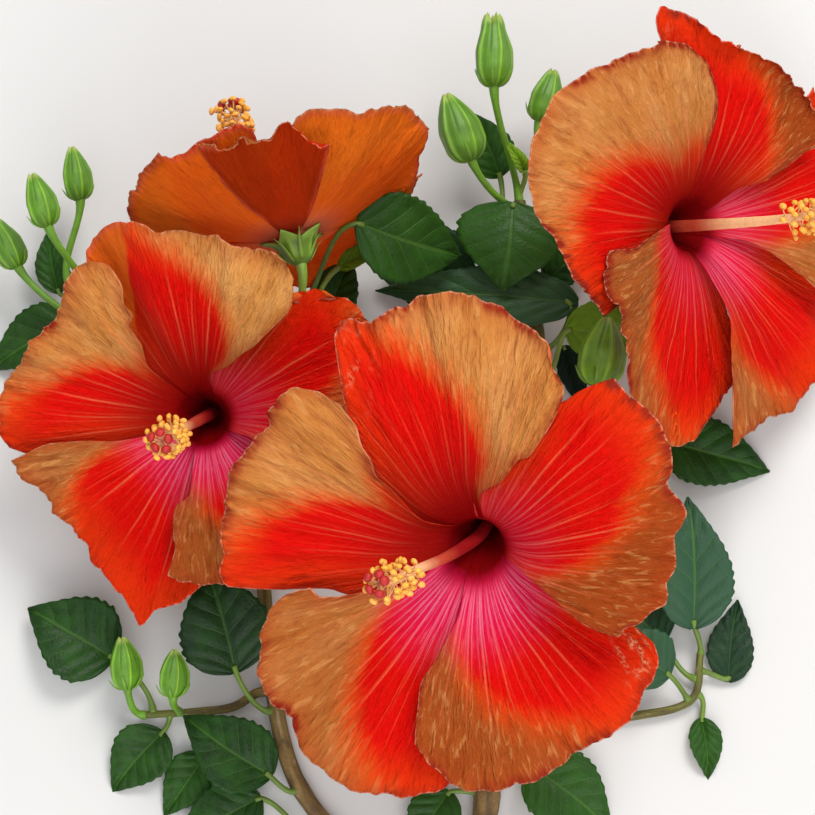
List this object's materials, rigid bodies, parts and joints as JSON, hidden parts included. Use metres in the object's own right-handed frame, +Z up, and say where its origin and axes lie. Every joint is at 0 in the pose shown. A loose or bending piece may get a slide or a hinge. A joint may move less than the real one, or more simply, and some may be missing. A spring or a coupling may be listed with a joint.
{
  "type": "cut hibiscus branch in flower",
  "caption": "Cut hibiscus branch lying down: wide open red and gold blooms with long columns, green buds and toothed leaves on a forking woody stem.",
  "frame": {"origin": "under the middle of the branch, on the surface that it lies on", "axes": "+Z up, +Y from the cut end of the stem towards its tips, +X to the right seen from the cut end"},
  "size_m": [0.32, 0.3868, 0.1369],
  "materials": {
    "bark": "rough brown bark with a green flush on the young wood",
    "petals": "thin crinkled petal, red with a gold rim and a crimson throat",
    "column": "waxy cream column with yellow anthers and red pads",
    "calyx": "satin green calyx and flower stalk",
    "bud": "satin green ribbed bud",
    "leaf": "glossy dark green leaf with raised veins",
    "leaf_young": "satin bright green young leaf"
  },
  "bodies": {
    "root": {"stem_foot": "bark", "stem_right": "bark", "stem_top": "bark", "stem_left": "bark", "stem_left_top": "bark", "twig_left": "bark", "twig_low": "bark", "twig_right": "bark", "bloom_front_petals": "petals", "bloom_front_column": "column", "bloom_front_calyx": "calyx", "bloom_left_petals": "petals", "bloom_left_column": "column", "bloom_left_calyx": "calyx", "bloom_right_petals": "petals", "bloom_right_column": "column", "bloom_right_calyx": "calyx", "bloom_back_petals": "petals", "bloom_back_column": "column", "bloom_back_calyx": "calyx", "bud_tip": "bud", "bud_tip_left": "bud", "bud_tip_right": "bud", "bud_middle": "bud", "bud_left_high": "bud", "bud_left_middle": "bud", "bud_left_low": "bud", "bud_low_left": "bud", "bud_low_right": "bud", "leaf_centre": "leaf", "leaf_centre_back": "leaf", "leaf_centre_dark": "leaf", "leaf_long": "leaf", "leaf_top": "leaf", "leaf_right_small": "leaf", "leaf_bright": "leaf_young", "leaf_narrow_dark": "leaf", "leaf_inner": "leaf", "leaf_inner_dark": "leaf", "leaf_young": "leaf_young", "leaf_right_tall": "leaf", "leaf_right_round": "leaf", "leaf_right_dark": "leaf", "leaf_right_pale": "leaf", "leaf_right_tip": "leaf", "leaf_low_left": "leaf", "leaf_low_high": "leaf", "leaf_low_middle": "leaf", "leaf_low_hanging": "leaf", "leaf_low_pale": "leaf", "leaf_foot_left": "leaf", "leaf_far_left": "leaf", "leaf_left_small": "leaf", "leaf_under_right": "leaf", "leaf_foot_middle": "leaf", "leaf_foot_right": "leaf", "leaf_stem_right": "leaf", "leaf_stem_left": "leaf"}
  },
  "joints": []
}
